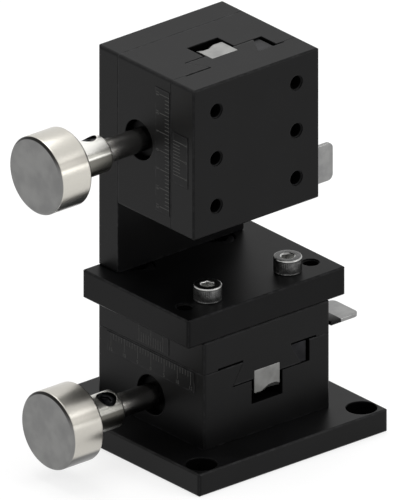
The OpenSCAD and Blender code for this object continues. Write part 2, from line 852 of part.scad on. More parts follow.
// Set screw in the boss, on the shaft's flat
module unit_knob_set_screw(screw_turn) {
    point_r = shaft_d / 2 - shaft_flat_depth;
    top_r = boss_d / 2 - knob_screw_sunk;
    color(dark_steel)
    at_knob_screw(screw_turn)
        translate([0, 0, top_r])
            set_screw(knob_screw_d, m3_socket, top_r - point_r);
}

// Pin in the body that runs in the table's slot and ends the travel
module unit_stop_pin() {
    color(steel)
    translate([stop_pin_x, 0, stop_pin_foot_h])
        cylinder(d = stop_pin_d - 2 * seat_clear, h = body_h - stop_pin_foot_h + stop_pin_rise);
}

// A strip let into the unit's side
module strip(l, w, t, low_h) {
    translate([-side_x + strip_seat_depth - t, -l / 2, low_h])
        cube([t, l, w]);
}

// Cuts for a strip's marks: they start at one edge of it, which way_up tells
module marks(t, pitch, last_mark, long_every, short_l, long_l, edge_h, way_up) {
    face_x = side_x - strip_seat_depth + t;
    for (i = [-last_mark : last_mark]) {
        mark_l = i % long_every == 0 ? long_l : short_l;
        mark_h = way_up ? edge_h + mark_edge : edge_h - mark_edge - mark_l;
        translate([-face_x - over, i * pitch - mark_w / 2, mark_h])
            cube([mark_depth + over, mark_w, mark_l]);
    }
}

// Scale in millimetres on the fixed half
module unit_scale_strip() {
    color(black_plate)
    difference() {
        strip(scale_l, scale_w, scale_t, scale_h);
        marks(scale_t, mark_pitch, floor(scale_reach / mark_pitch), long_mark_every,
              scale_mark_short, scale_mark_long, scale_h + scale_w, false);
    }
}

// Vernier on the moving half
module unit_vernier_strip() {
    color(black_plate)
    difference() {
        strip(vernier_l, vernier_w, vernier_t, vernier_h);
        marks(vernier_t, vernier_pitch_share * mark_pitch, vernier_marks / 2, vernier_marks / 2,
              vernier_mark_short, vernier_mark_long, vernier_h, true);
    }
}

// Frame pieces

// Square plate that the stage is bolted down by
module base_plate() {
    color(black_plate)
    difference() {
        block(base_w, base_w, base_t);
        at_corners(base_hole_pitch / 2, base_hole_pitch / 2) {
            translate([0, 0, -over])
                cylinder(d = base_hole_d, h = base_t + 2 * over);
            translate([0, 0, base_t - base_cbore_depth])
                cylinder(d = base_cbore_d, h = base_cbore_depth + over);
        }
        at_corners(unit_screw_x, unit_screw_y)
            rotate([180, 0, 0])
                sunk_hole(m3_d, m3_head_d, m3_sunk, base_t);
    }
}

// Screws from under the base plate into the lower body
module base_screws() {
    color(steel)
    at_corners(unit_screw_x, unit_screw_y)
        translate([0, 0, m3_sunk])
            rotate([180, 0, 0])
                cap_screw(m3_d, m3_head_d, m3_head_h, m3_socket, base_t - m3_sunk + m3_grip);
}

// Plate on the lower table that carries the riser
module bridge_plate() {
    color(black_plate)
    difference() {
        translate([0, 0, bridge_z])
            block(bridge_w, unit_l, bridge_t);
        at_pair(table_hole_pitch, -table_hole_pitch)
            translate([0, 0, bridge_z - over])
                cylinder(d = m4_d + 2 * shank_play, h = bridge_t + 2 * over);
        at_pair(table_hole_pitch, table_hole_pitch)
            translate([0, 0, bridge_top_z])
                sunk_hole(m4_d, m4_head_d, m4_sunk, bridge_t);
        at_pair(bridge_hole_pitch / 2, -table_hole_pitch)
            translate([0, 0, bridge_top_z - bridge_hole_depth])
                cylinder(d = bridge_hole_d, h = bridge_hole_depth + over);
        at_pair(riser_screw_x, riser_mid_y)
            translate([0, 0, bridge_z])
                rotate([180, 0, 0])
                    sunk_hole(m3_d, m3_head_d, m3_sunk, bridge_t);
        at_pair(dowel_x, riser_mid_y)
            translate([0, 0, bridge_top_z - dowel_seat])
                cylinder(d = dowel_d, h = dowel_seat + over);
    }
}

// Cap screws whose heads stand on the bridge plate
module bridge_front_screws() {
    color(silver)
    at_pair(table_hole_pitch, -table_hole_pitch)
        translate([0, 0, bridge_top_z])
            cap_screw(m4_d, m4_head_d, m4_head_h, m4_socket, bridge_t + m4_grip);
}

// Cap screws sunk in the bridge plate, partly under the riser
module bridge_rear_screws() {
    color(dark_steel)
    at_pair(table_hole_pitch, table_hole_pitch)
        translate([0, 0, bridge_top_z - m4_sunk])
            cap_screw(m4_d, m4_head_d, m4_head_h, m4_socket, bridge_t - m4_sunk + m4_grip);
}

// Upright plate behind the upper unit
module riser_plate() {
    color(black_plate)
    difference() {
        intersection() {
            translate([0, riser_mid_y, bridge_top_z])
                block(unit_w, riser_t, riser_h, front_c = seam_chamfer);
            translate([0, riser_mid_y + riser_t / 2, bridge_top_z + riser_h / 2])
                rotate([90, 0, 0])
                    linear_extrude(riser_t) round_rect(unit_w, riser_h, seam_chamfer, corner_r);
        }
        at_pair(riser_screw_x, riser_mid_y)
            translate([0, 0, bridge_top_z - over])
                cylinder(d = m3_d, h = m3_grip + tap_spare + over);
        at_pair(dowel_x, riser_mid_y)
            translate([0, 0, bridge_top_z - over])
                cylinder(d = dowel_d, h = dowel_l - dowel_seat + dowel_wall + over);
        upper()
            at_corners(unit_screw_x, unit_screw_y)
                translate([0, 0, -riser_t])
                    rotate([180, 0, 0])
                        sunk_hole(m3_d, m3_head_d, m3_sunk, riser_t);
    }
}

// Screws from under the bridge plate into the riser
module riser_screws() {
    color(steel)
    at_pair(riser_screw_x, riser_mid_y)
        translate([0, 0, bridge_z + m3_sunk])
            rotate([180, 0, 0])
                cap_screw(m3_d, m3_head_d, m3_head_h, m3_socket, bridge_t - m3_sunk + m3_grip);
}

// Pins that keep the riser square on the bridge plate
module riser_dowels() {
    color(steel)
    at_pair(dowel_x, riser_mid_y)
        translate([0, 0, bridge_top_z - dowel_seat])
            cylinder(d = dowel_d - 2 * seat_clear, h = dowel_l);
}

// Screws through the riser's back into the upper body
module riser_body_screws() {
    color(steel)
    upper()
        at_corners(unit_screw_x, unit_screw_y)
            translate([0, 0, -riser_t + m3_sunk])
                rotate([180, 0, 0])
                    cap_screw(m3_d, m3_head_d, m3_head_h, m3_socket, riser_t - m3_sunk + m3_grip);
}

base_plate();
base_screws();
bridge_plate();
bridge_front_screws();
bridge_rear_screws();
riser_plate();
riser_screws();
riser_dowels();
riser_body_screws();

lower() unit_body();  // x_body
lower() unit_table();  // x_table
lower() unit_rack();  // x_rack
lower() unit_rack_screws();  // x_rack_screws
lower() unit_gib();  // x_gib
lower() unit_gib_screws();  // x_gib_screws
lower() unit_clamp_pad();  // x_clamp_pad
lower() unit_clamp_screw();  // x_clamp_screw
lower() unit_clamp_lever();  // x_clamp_lever
lower() unit_pinion_shaft(x_knob_screw_turn);  // x_pinion_shaft
lower() unit_front_bush();  // x_front_bush
lower() unit_rear_bush();  // x_rear_bush
lower() unit_bush_screw();  // x_bush_screw
lower() unit_drag_washer();  // x_drag_washer
lower() unit_retaining_ring();  // x_retaining_ring
lower() unit_knob(x_knob_screw_turn);  // x_knob
lower() unit_knob_set_screw(x_knob_screw_turn);  // x_knob_set_screw
lower() unit_stop_pin();  // x_stop_pin
lower() unit_scale_strip();  // x_scale_strip
lower() unit_vernier_strip();  // x_vernier_strip

upper() unit_body();  // z_body
upper() unit_table();  // z_table
upper() unit_rack();  // z_rack
upper() unit_rack_screws();  // z_rack_screws
upper() unit_gib();  // z_gib
upper() unit_gib_screws();  // z_gib_screws
upper() unit_clamp_pad();  // z_clamp_pad
upper() unit_clamp_screw();  // z_clamp_screw
upper() unit_clamp_lever();  // z_clamp_lever
upper() unit_pinion_shaft(z_knob_screw_turn);  // z_pinion_shaft
upper() unit_front_bush();  // z_front_bush
upper() unit_rear_bush();  // z_rear_bush
upper() unit_bush_screw();  // z_bush_screw
upper() unit_drag_washer();  // z_drag_washer
upper() unit_retaining_ring();  // z_retaining_ring
upper() unit_knob(z_knob_screw_turn);  // z_knob
upper() unit_knob_set_screw(z_knob_screw_turn);  // z_knob_set_screw
upper() unit_stop_pin();  // z_stop_pin
upper() unit_scale_strip();  // z_scale_strip
upper() unit_vernier_strip();  // z_vernier_strip
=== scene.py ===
"""Looks of a small rack and pinion stage with two axes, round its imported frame."""
import json
import math

import bmesh
import bpy
from mathutils import Matrix, Vector


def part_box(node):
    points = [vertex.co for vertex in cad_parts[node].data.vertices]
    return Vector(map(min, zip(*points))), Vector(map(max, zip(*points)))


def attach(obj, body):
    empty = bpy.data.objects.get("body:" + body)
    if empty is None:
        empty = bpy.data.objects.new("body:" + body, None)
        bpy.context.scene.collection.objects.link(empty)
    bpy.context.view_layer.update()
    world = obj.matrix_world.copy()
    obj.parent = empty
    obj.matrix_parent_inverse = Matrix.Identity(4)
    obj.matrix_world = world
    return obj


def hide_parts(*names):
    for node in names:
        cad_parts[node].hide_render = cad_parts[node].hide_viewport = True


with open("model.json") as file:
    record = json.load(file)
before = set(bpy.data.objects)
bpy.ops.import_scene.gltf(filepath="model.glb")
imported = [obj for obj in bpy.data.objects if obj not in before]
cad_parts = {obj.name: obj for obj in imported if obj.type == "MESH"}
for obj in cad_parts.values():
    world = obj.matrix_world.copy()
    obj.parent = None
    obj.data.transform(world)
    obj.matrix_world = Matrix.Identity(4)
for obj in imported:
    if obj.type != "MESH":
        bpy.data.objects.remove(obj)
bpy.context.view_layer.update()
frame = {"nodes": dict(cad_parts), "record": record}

nodes = frame["nodes"]
mm = 0.001

# Camera
# A parallel view over the stage's front left corner, from the knobs' side. The
# picture's frame is a little higher than the stage.
view_turn = math.radians(40.16)
view_rise = math.radians(24.64)
view_height = 121.35 * mm
aim_across = -2.774 * mm
aim_up = 42.5 * mm
view_distance = 600 * mm


def put(name, data):
    """A new object round its data."""
    thing = bpy.data.objects.new(name, data)
    bpy.context.collection.objects.link(thing)
    return thing


def look_along(thing, direction):
    """Turns a camera or a lamp to look along a direction."""
    thing.rotation_mode = "QUATERNION"
    thing.rotation_quaternion = direction.to_track_quat("-Z", "Y")


across = Vector((math.cos(view_turn), -math.sin(view_turn), 0))
ahead = Vector((math.sin(view_turn), math.cos(view_turn), 0))
upward = math.sin(view_rise) * ahead + math.cos(view_rise) * Vector((0, 0, 1))
sight = math.cos(view_rise) * ahead - math.sin(view_rise) * Vector((0, 0, 1))
camera_data = bpy.data.cameras.new("camera")
camera_data.type = "ORTHO"
camera_data.ortho_scale = view_height
camera = put("camera", camera_data)
look_along(camera, sight)
camera.location = aim_across * across + aim_up * upward - view_distance * sight
bpy.context.scene.camera = camera
bpy.context.scene.view_settings.view_transform = "Standard"

# Studio
# A white table top that runs back out of sight, a white room and three soft
# lamps: one on the left, one on the right and one overhead.
floor_half = 2.5
floor_colour = (0.36, 0.36, 0.36, 1)
floor_glow = 0.72
room_colour = (0.5, 0.5, 0.5, 1)
white = (1, 1, 1, 1)
stage_middle = Vector((0, 0, 50 * mm))
lamp_plan = {
    "left_lamp": {"spot": Vector((-0.7, -0.35, 0.55)), "size": 0.5, "power": 1.2},
    "right_lamp": {"spot": Vector((0.45, -0.75, 0.5)), "size": 0.45, "power": 2.4},
    "top_lamp": {"spot": Vector((0.1, 0.2, 0.9)), "size": 0.6, "power": 3.4},
}


def link_math(tree, operation, first, second=None):
    """A Math node on two sockets or numbers; returns its output."""
    step = tree.nodes.new("ShaderNodeMath")
    step.operation = operation
    for slot, value in enumerate((first, second)):
        if value is None:
            continue
        if isinstance(value, (int, float)):
            step.inputs[slot].default_value = value
        else:
            tree.links.new(value, step.inputs[slot])
    return step.outputs[0]


def times(tree, first, second):
    """The product of two sockets or numbers."""
    return link_math(tree, "MULTIPLY", first, second)


def white_ray_share(tree):
    """One for rays that show the backdrop itself: from the camera, or by gloss or glass."""
    path = tree.nodes.new("ShaderNodeLightPath").outputs
    seen = link_math(tree, "MAXIMUM", path["Is Camera Ray"], path["Is Glossy Ray"])
    return link_math(tree, "MAXIMUM", seen, path["Is Transmission Ray"])


def mesh_of(name, shape):
    """A mesh made from a shape, which is used up."""
    data = bpy.data.meshes.new(name)
    shape.to_mesh(data)
    shape.free()
    return data


room = bpy.data.worlds.new("white_room")
bpy.context.scene.world = room
room.use_nodes = True
room_tree = room.node_tree
room_tree.nodes.clear()
room_light = room_tree.nodes.new("ShaderNodeBackground")
room_light.inputs["Color"].default_value = room_colour
room_seen = room_tree.nodes.new("ShaderNodeBackground")
room_seen.inputs["Color"].default_value = white
room_mix = room_tree.nodes.new("ShaderNodeMixShader")
room_out = room_tree.nodes.new("ShaderNodeOutputWorld")
room_tree.links.new(white_ray_share(room_tree), room_mix.inputs["Fac"])
room_tree.links.new(room_light.outputs[0], room_mix.inputs[1])
room_tree.links.new(room_seen.outputs[0], room_mix.inputs[2])
room_tree.links.new(room_mix.outputs[0], room_out.inputs["Surface"])

floor_shape = bmesh.new()
bmesh.ops.create_grid(floor_shape, x_segments=1, y_segments=1, size=floor_half)
floor = put("floor", mesh_of("floor", floor_shape))

floor_paint = bpy.data.materials.new("white_table_top")
floor_paint.use_nodes = True
floor_tree = floor_paint.node_tree
floor_tree.nodes.clear()
floor_matt = floor_tree.nodes.new("ShaderNodeBsdfDiffuse")
floor_matt.inputs["Color"].default_value = floor_colour
floor_light = floor_tree.nodes.new("ShaderNodeEmission")
floor_sum = floor_tree.nodes.new("ShaderNodeAddShader")
floor_out = floor_tree.nodes.new("ShaderNodeOutputMaterial")
floor_strength = times(floor_tree, white_ray_share(floor_tree), floor_glow)
floor_tree.links.new(floor_strength, floor_light.inputs["Strength"])
floor_tree.links.new(floor_matt.outputs[0], floor_sum.inputs[0])
floor_tree.links.new(floor_light.outputs[0], floor_sum.inputs[1])
floor_tree.links.new(floor_sum.outputs[0], floor_out.inputs["Surface"])
floor.data.materials.append(floor_paint)

for lamp_name, plan in lamp_plan.items():
    lamp_data = bpy.data.lights.new(lamp_name, "AREA")
    lamp_data.shape = "SQUARE"
    lamp_data.size = plan["size"]
    lamp_data.energy = plan["power"]
    lamp = put(lamp_name, lamp_data)
    lamp.location = plan["spot"]
    look_along(lamp, stage_middle - plan["spot"])

# Base plate
# The square foot that the stage is bolted down by. It is milled from aluminium
# bar, chamfered, blasted fine and anodised black, like all the stage's blocks.
anodised_dark = (0.0006, 0.0006, 0.0007, 1)
anodised_light = (0.0017, 0.0017, 0.0019, 1)
anodised_edge = (0.022, 0.022, 0.023, 1)
anodised_cloud = 9 * mm
anodised_rough = (0.36, 0.45)
anodised_gloss = 0.14
speckle_size = 0.22 * mm
speckle_depth = 0.006 * mm
rubbed_size = 1.6 * mm
rubbed_band = (0.35, 0.75)
edge_wear = (0.05 * mm, 0.55 * mm)
edge_round = 0.3 * mm
edge_samples = 4
# Painted shade: a dark matt that takes over inside holes and grooves.
pocket_shade_dark = (0.001, 0.001, 0.001, 1)
pocket_shade_light = (0.003, 0.003, 0.003, 1)
pocket_shade_mouth = (0.3 * mm, 0.6 * mm)
cloud_band = (0.3, 0.7)


def rest_of(tree, share):
    """What a share leaves of one."""
    return link_math(tree, "SUBTRACT", 1.0, share)


def fade(tree, value, low, high):
    """Zero below low and one above high, with a smooth step between them."""
    ramp = tree.nodes.new("ShaderNodeMapRange")
    ramp.interpolation_type = "SMOOTHSTEP"
    ramp.inputs["From Min"].default_value = low
    ramp.inputs["From Max"].default_value = high
    tree.links.new(value, ramp.inputs["Value"])
    return ramp.outputs["Result"]


def noise(tree, size, detail=3, stretch=(1, 1, 1)):
    """Noise on Object coordinates, with its grain's size in metres."""
    place = tree.nodes.new("ShaderNodeTexCoord")
    scale = tree.nodes.new("ShaderNodeMapping")
    scale.inputs["Scale"].default_value = stretch
    grain = tree.nodes.new("ShaderNodeTexNoise")
    grain.inputs["Scale"].default_value = 1 / size
    grain.inputs["Detail"].default_value = detail
    tree.links.new(place.outputs["Object"], scale.inputs["Vector"])
    tree.links.new(scale.outputs["Vector"], grain.inputs["Vector"])
    return grain.outputs["Fac"]


def mix_colour(tree, share, first, second):
    """Mixes two colours, each a socket or a value."""
    blend = tree.nodes.new("ShaderNodeMix")
    blend.data_type = "RGBA"
    tree.links.new(share, blend.inputs["Factor"])
    for name, value in (("A", first), ("B", second)):
        socket = next(s for s in blend.inputs if s.name == name and s.type == "RGBA")
        if isinstance(value, tuple):
            socket.default_value = value
        else:
            tree.links.new(value, socket)
    return next(s for s in blend.outputs if s.type == "RGBA")


def new_finish(name, metallic):
    """A new material, its tree and its shader."""
    finish = bpy.data.materials.new(name)
    finish.use_nodes = True
    shader = finish.node_tree.nodes["Principled BSDF"]
    shader.inputs["Metallic"].default_value = metallic
    return finish, finish.node_tree, shader


def add_bump(tree, shader, height, depth, soft_edges=True):
    """Bump over depth in metres, where height runs from zero to one, and softened edges."""
    bump = tree.nodes.new("ShaderNodeBump")
    bump.inputs["Strength"].default_value = 1
    bump.inputs["Distance"].default_value = depth
    tree.links.new(height, bump.inputs["Height"])
    if soft_edges:
        soft = tree.nodes.new("ShaderNodeBevel")
        soft.samples = edge_samples
        soft.inputs["Radius"].default_value = edge_round
        tree.links.new(soft.outputs["Normal"], bump.inputs["Normal"])
    tree.links.new(bump.outputs["Normal"], shader.inputs["Normal"])


def roughen(tree, shader, source, low, high):
    """Roughness between two values, by a source from zero to one."""
    spread = tree.nodes.new("ShaderNodeMapRange")
    spread.inputs["To Min"].default_value = low
    spread.inputs["To Max"].default_value = high
    tree.links.new(source, spread.inputs["Value"])
    tree.links.new(spread.outputs["Result"], shader.inputs["Roughness"])


def coordinates(tree):
    """The three Object coordinates, as sockets."""
    place = tree.nodes.new("ShaderNodeTexCoord")
    parts = tree.nodes.new("ShaderNodeSeparateXYZ")
    tree.links.new(place.outputs["Object"], parts.inputs[0])
    return parts.outputs


def off_middle(tree, place, low, high):
    """A coordinate's distance from the middle between two values."""
    return link_math(tree, "ABSOLUTE", link_math(tree, "SUBTRACT", place, (low + high) / 2))


def box_closeness(tree, low, high):
    """Distances from inside to the nearest edge and to the nearest face of a box."""
    spot = coordinates(tree)
    gaps = []
    for axis in range(3):
        off = off_middle(tree, spot[axis], low[axis], high[axis])
        gaps.append(link_math(tree, "SUBTRACT", (high[axis] - low[axis]) / 2, off))
    near = link_math(tree, "MINIMUM", gaps[0], gaps[1])
    far = link_math(tree, "MAXIMUM", gaps[0], gaps[1])
    edge = link_math(tree, "MAXIMUM", near, link_math(tree, "MINIMUM", far, gaps[2]))
    return edge, link_math(tree, "MINIMUM", near, gaps[2])


def black_anodised(node, soft_edges=True, gloss=anodised_gloss):
    """Black anodised finish, worn at the block's edges, with painted shade as a dark matt in its holes
    and grooves.
    """
    finish, tree, shader = new_finish("black_anodised_" + node, 0)
    cloud = noise(tree, anodised_cloud)
    tone = mix_colour(tree, fade(tree, cloud, *cloud_band), anodised_dark, anodised_light)
    edge, face = box_closeness(tree, *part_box(node))
    rubbed = fade(tree, noise(tree, rubbed_size, detail=4), *rubbed_band)
    wear = times(tree, rest_of(tree, fade(tree, edge, *edge_wear)), rubbed)
    tree.links.new(mix_colour(tree, wear, tone, anodised_edge), shader.inputs["Base Color"])
    roughen(tree, shader, cloud, *anodised_rough)
    shader.inputs["Specular IOR Level"].default_value = gloss
    add_bump(tree, shader, noise(tree, speckle_size, detail=2), speckle_depth, soft_edges)
    # Painted shade in pockets: a near-black matt blended in by depth from the box's faces.
    pocket_shade = tree.nodes.new("ShaderNodeBsdfDiffuse")
    tree.links.new(mix_colour(tree, cloud, pocket_shade_dark, pocket_shade_light), pocket_shade.inputs["Color"])
    blend = tree.nodes.new("ShaderNodeMixShader")
    tree.links.new(fade(tree, face, *pocket_shade_mouth), blend.inputs["Fac"])
    tree.links.new(shader.outputs[0], blend.inputs[1])
    tree.links.new(pocket_shade.outputs[0], blend.inputs[2])
    output = next(n for n in tree.nodes if n.type == "OUTPUT_MATERIAL")
    tree.links.new(blend.outputs[0], output.inputs["Surface"])
    return finish


def dress(node, finish):
    """Gives a node of the frame its finish."""
    data = nodes[node].data
    data.materials.clear()
    data.materials.append(finish)


dress("base_plate", black_anodised("base_plate"))

# Base screws
# Four zinc plated cap screws from under the base plate into the lower body. Like
# all the cap screws they are cold headed, with a straight knurl and a hex socket.
m3_screw = {"head_h": 3 * mm, "shank_d": 2.9 * mm, "socket": 2.5 * mm}
shank_chamfer = 0.3 * mm
head_foot_round = 0.12 * mm
head_top_round = 0.35 * mm
knurl_from_foot = 0.3 * mm
knurl_from_top = 0.48 * mm
knurl_depth = 0.08 * mm
socket_rim = 0.42 * mm
socket_rim_depth = 0.24 * mm
socket_rim_round = 0.08 * mm
socket_point = 0.2 * mm
first_screw_turn = 0.37
next_screw_turn = 0.9
ring_count = 96
corner_steps = 4
hex_turn = math.radians(60)
sharp_turn = math.radians(26)
same_spot = 0.0001 * mm
metal_cloud = 4 * mm
screw_grain = 0.3 * mm
screw_grain_depth = 0.003 * mm
zinc_tones = ((0.36, 0.36, 0.36, 1), (0.46, 0.46, 0.46, 1))
zinc_rough = (0.2, 0.34)
blacked_tones = ((0.012, 0.012, 0.013, 1), (0.022, 0.022, 0.024, 1))
blacked_rough = (0.3, 0.45)
bodies = frame["record"]["behaviour"]["bodies"]
home = {node: body for body, members in bodies.items() for node in members}


def plain_metal(name, tones, rough, grain, depth, stretch=(1, 1, 1)):
    """Machined metal with a grain, which is finest where stretch is largest."""
    finish, tree, shader = new_finish(name, 1)
    mark = noise(tree, grain, stretch=stretch)
    cloud = fade(tree, noise(tree, metal_cloud, detail=2), *cloud_band)
    tree.links.new(mix_colour(tree, cloud, *tones), shader.inputs["Base Color"])
    roughen(tree, shader, mark, *rough)
    add_bump(tree, shader, mark, depth)
    return finish


def softened(profile):
    """Rings from a profile of (height, radius, form, soft length), its corners rounded."""
    rings = []
    for i, (height, radius, form, soft) in enumerate(profile):
        here = Vector((height, radius))
        if not soft:
            rings.append((height, radius, form))
            continue
        start, end = [here + soft * (Vector(profile[k][:2]) - here).normalized() for k in (i - 1, i + 1)]
        for step in range(corner_steps + 1):
            share = step / corner_steps
            spot = start * (1 - share) ** 2 + here * 2 * share * (1 - share) + end * share ** 2
            rings.append((spot[0], spot[1], form))
    return rings


def turned(rings, tube=False):
    """A closed shape spun round Z from rings of (height, radius, form): round, knurl or hex."""
    # Each vertex keeps its ring's number through the spin, and so finds its form.
    shape = bmesh.new()
    ring_of = shape.verts.layers.int.new("ring")
    outline = []
    for number, (height, radius, form) in enumerate(rings):
        outline.append(shape.verts.new((radius, 0, height)))
        outline[-1][ring_of] = number
    for first, second in zip(outline, outline[1:]):
        shape.edges.new((first, second))
    if tube:
        shape.edges.new((outline[-1], outline[0]))
    bmesh.ops.spin(shape, geom=shape.verts[:] + shape.edges[:], cent=(0, 0, 0), axis=(0, 0, 1),
                   dvec=(0, 0, 0), angle=2 * math.pi, steps=ring_count, use_merge=True)
    if not tube:
        ends = [edge for edge in shape.edges if edge.is_boundary]
        bmesh.ops.holes_fill(shape, edges=ends, sides=ring_count)
    for vert in shape.verts:
        height, radius, form = rings[vert[ring_of]]
        step = round(math.atan2(vert.co.y, vert.co.x) * ring_count / (2 * math.pi))
        if form == "knurl" and step % 2:
            vert.co.xy *= 1 - knurl_depth / radius
        if form == "hex":
            turn = 2 * math.pi * step / ring_count
            vert.co.xy /= math.cos((turn + hex_turn / 2) % hex_turn - hex_turn / 2)
    shape.verts.layers.int.remove(ring_of)
    bmesh.ops.recalc_face_normals(shape, faces=shape.faces)
    return shape


def placed(shape, place):
    """The shape, moved to its place."""
    bmesh.ops.transform(shape, matrix=place, verts=shape.verts)
    return shape


def joined(shapes):
    """One shape from several, which are used up."""
    whole = bmesh.new()
    for shape in shapes:
        step = mesh_of("step", shape)
        whole.from_mesh(step)
        bpy.data.meshes.remove(step)
    return whole


def shape_of(data):
    """A shape to work on, copied from a mesh."""
    shape = bmesh.new()
    shape.from_mesh(data)
    return shape


def mark_sharp_edges(shape):
    """Keeps the shading sharp at a shape's corners."""
    for edge in shape.edges:
        edge.smooth = len(edge.link_faces) == 2 and edge.calc_face_angle(0) < sharp_turn


def add_piece(name, shape, finish, node, in_its_place=True):
    """Adds a shape as a piece that rides with a node, and stands for it unless told not to."""
    mark_sharp_edges(shape)
    for face in shape.faces:
        face.smooth = True
    piece = put(name, mesh_of(name, shape))
    piece.data.materials.append(finish)
    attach(piece, home[node])
    if in_its_place:
        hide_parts(node)
    return piece


def solid_boxes(node):
    """Lowest and highest corners of each separate solid of a node."""
    shape = shape_of(nodes[node].data)
    bmesh.ops.remove_doubles(shape, verts=shape.verts, dist=same_spot)
    left = set(shape.verts)
    boxes = []
    while left:
        solid = [left.pop()]
        for vert in solid:
            for edge in vert.link_edges:
                other = edge.other_vert(vert)
                if other in left:
                    left.remove(other)
                    solid.append(other)
        boxes.append(([min(v.co[a] for v in solid) for a in range(3)],
                      [max(v.co[a] for v in solid) for a in range(3)]))
    shape.free()
    return sorted(boxes)


def cap_screw(head_d, length, head_h, shank_d, socket):
    """A cap screw round Z, with the top of its head at zero."""
    head_r = head_d / 2
    shank_r = shank_d / 2
    socket_r = socket / 2
    socket_depth = head_h / 2
    knurl_foot = knurl_from_foot - head_h
    return turned(softened([
        (-length, shank_r - shank_chamfer, "round", 0),
        (-length + shank_chamfer, shank_r, "round", 0),
        (-head_h, shank_r, "round", 0),
        (-head_h, head_r, "round", head_foot_round),
        (knurl_foot, head_r, "round", 0),
        (knurl_foot + knurl_depth, head_r, "knurl", 0),
        (-knurl_from_top - knurl_depth, head_r, "knurl", 0),
        (-knurl_from_top, head_r, "round", 0),
        (0, head_r, "round", head_top_round),
        (0, socket_r + socket_rim, "round", socket_rim_round),
        (-socket_rim_depth, socket_r, "hex", 0),
        (-socket_depth, socket_r, "hex", 0),
        (-socket_depth - socket_point, socket_r / 3, "round", 0),
    ]))


def put_cap_screws(node, out, kind, finish):
    """Detailed cap screws in place of a node's, with their heads facing out."""
    out = Vector(out)
    along = max(range(3), key=lambda a: abs(out[a]))
    shapes = []
    for i, (low, high) in enumerate(solid_boxes(node)):
        low, high = Vector(low), Vector(high)
        size = high - low
        head_d = max(size[a] for a in range(3) if a != along)
        place = Matrix.Translation((low + high) / 2 + out * size[along] / 2)
        place = place @ out.to_track_quat("Z", "Y").to_matrix().to_4x4()
        place = place @ Matrix.Rotation(first_screw_turn + next_screw_turn * i, 4, "Z")
        shapes.append(placed(cap_screw(head_d, size[along], **kind), place))
    add_piece(node + "_detail", joined(shapes), finish, node)


zinc_steel = plain_metal("zinc_plated_steel", zinc_tones, zinc_rough, screw_grain, screw_grain_depth)
black_steel = plain_metal("blacked_steel", blacked_tones, blacked_rough, screw_grain, screw_grain_depth)
put_cap_screws("base_screws", (0, 0, -1), m3_screw, zinc_steel)

# Slide bodies
# The fixed halves of the two slides: blocks with a dovetail groove, milled and
# anodised black. The lower one is screwed to the base, the upper to the riser.
gib_screw_d = 3 * mm
gib_screw_pitch = 0.5 * mm
gib_screw_sunk = 1.2 * mm
gib_screw_places = (-4.5 * mm, 4.5 * mm, 13.5 * mm)
gib_screw_height = 17 * mm
thread_gap = 0.01 * mm
thread_wall = 0.02 * mm
thread_depth_share = 0.5
thread_foot = 0.1 * mm
thread_mouth_share = 0.35
x_low, x_high = [Vector(corner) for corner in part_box("x_body")]
z_low, z_high = [Vector(corner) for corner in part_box("z_body")]
unit_side = (x_high[0] - x_low[0]) / 2
unit_place = {
    "x": Matrix.Translation(((x_low[0] + x_high[0]) / 2, (x_low[1] + x_high[1]) / 2, x_low[2])),
    "z": Matrix.Translation(((z_low[0] + z_high[0]) / 2, z_high[1], (z_low[2] + z_high[2]) / 2))
         @ Matrix.Rotation(math.pi / 2, 4, "X"),
}
to_far_side = Matrix.Rotation(math.pi / 2, 4, "Y")
gib_seats = {
    unit: [place @ Matrix.Translation((unit_side, y, gib_screw_height)) @ to_far_side
           for y in gib_screw_places]
    for unit, place in unit_place.items()
}


def thread_rings(low, high, first_r, second_r, pitch):
    """Rings of a V thread between two heights, from one radius to the other and back."""
    turns = max(1, round((high - low) / pitch))
    step = (high - low) / turns
    rings = []
    for i in range(turns):
        rings.append((low + i * step, first_r, "round"))
        rings.append((low + (i + 0.5) * step, second_r, "round"))
    rings.append((high, first_r, "round"))
    return rings


def thread_sleeve(bore_d, depth, pitch):
    """The thread of a tapped hole round Z, whose mouth is at zero."""
    wall_r = bore_d / 2 - thread_gap
    root_r = wall_r - thread_wall
    low = thread_foot - depth
    high = -thread_mouth_share * pitch
    rings = thread_rings(low, high, root_r, root_r - thread_depth_share * pitch, pitch)
    return turned(rings + [(high, wall_r, "round"), (low, wall_r, "round")], tube=True)


def put_threads(name, node, finish, seats, bore_d, depth, pitch):
    """Threads in a node's tapped holes, where each seat has Z out of the hole's mouth."""
    sleeves = [placed(thread_sleeve(bore_d, depth, pitch), seat) for seat in seats]
    add_piece(name, joined(sleeves), finish, node, in_its_place=False)


for unit in unit_place:
    body = f"{unit}_body"
    body_finish = black_anodised(body)
    dress(body, body_finish)
    put_threads(f"{unit}_gib_threads", body, body_finish, gib_seats[unit],
                gib_screw_d, gib_screw_sunk, gib_screw_pitch)

# Scale strips
# A black strip with millimetre marks, pressed into each body's side. The marks
# are cut and filled with a thin grey paint, and the numerals are printed with it.
fill_colour = (0.11, 0.11, 0.106, 1)
fill_dull = (0.04, 0.04, 0.04, 1)
fill_worn_size = 0.8 * mm
fill_rough = (0.5, 0.7)
fill_gloss = 0.2
mark_worn_band = (0.1, 0.4)
mark_start_depth = 0.02 * mm
strip_edge = 0.05 * mm
numeral_worn_band = (0.25, 0.6)
numeral_size = 1.35 * mm
numeral_thickness_share = 0.007
numeral_curve_steps = 4
numeral_same_spot_share = 0.0001
scale_foot_height = 14.6 * mm
scale_end = 15
scale_numeral_step = 5
scale_plan = [(str(abs(mark)), mark * mm)
              for mark in range(-scale_end, scale_end + 1, scale_numeral_step)]


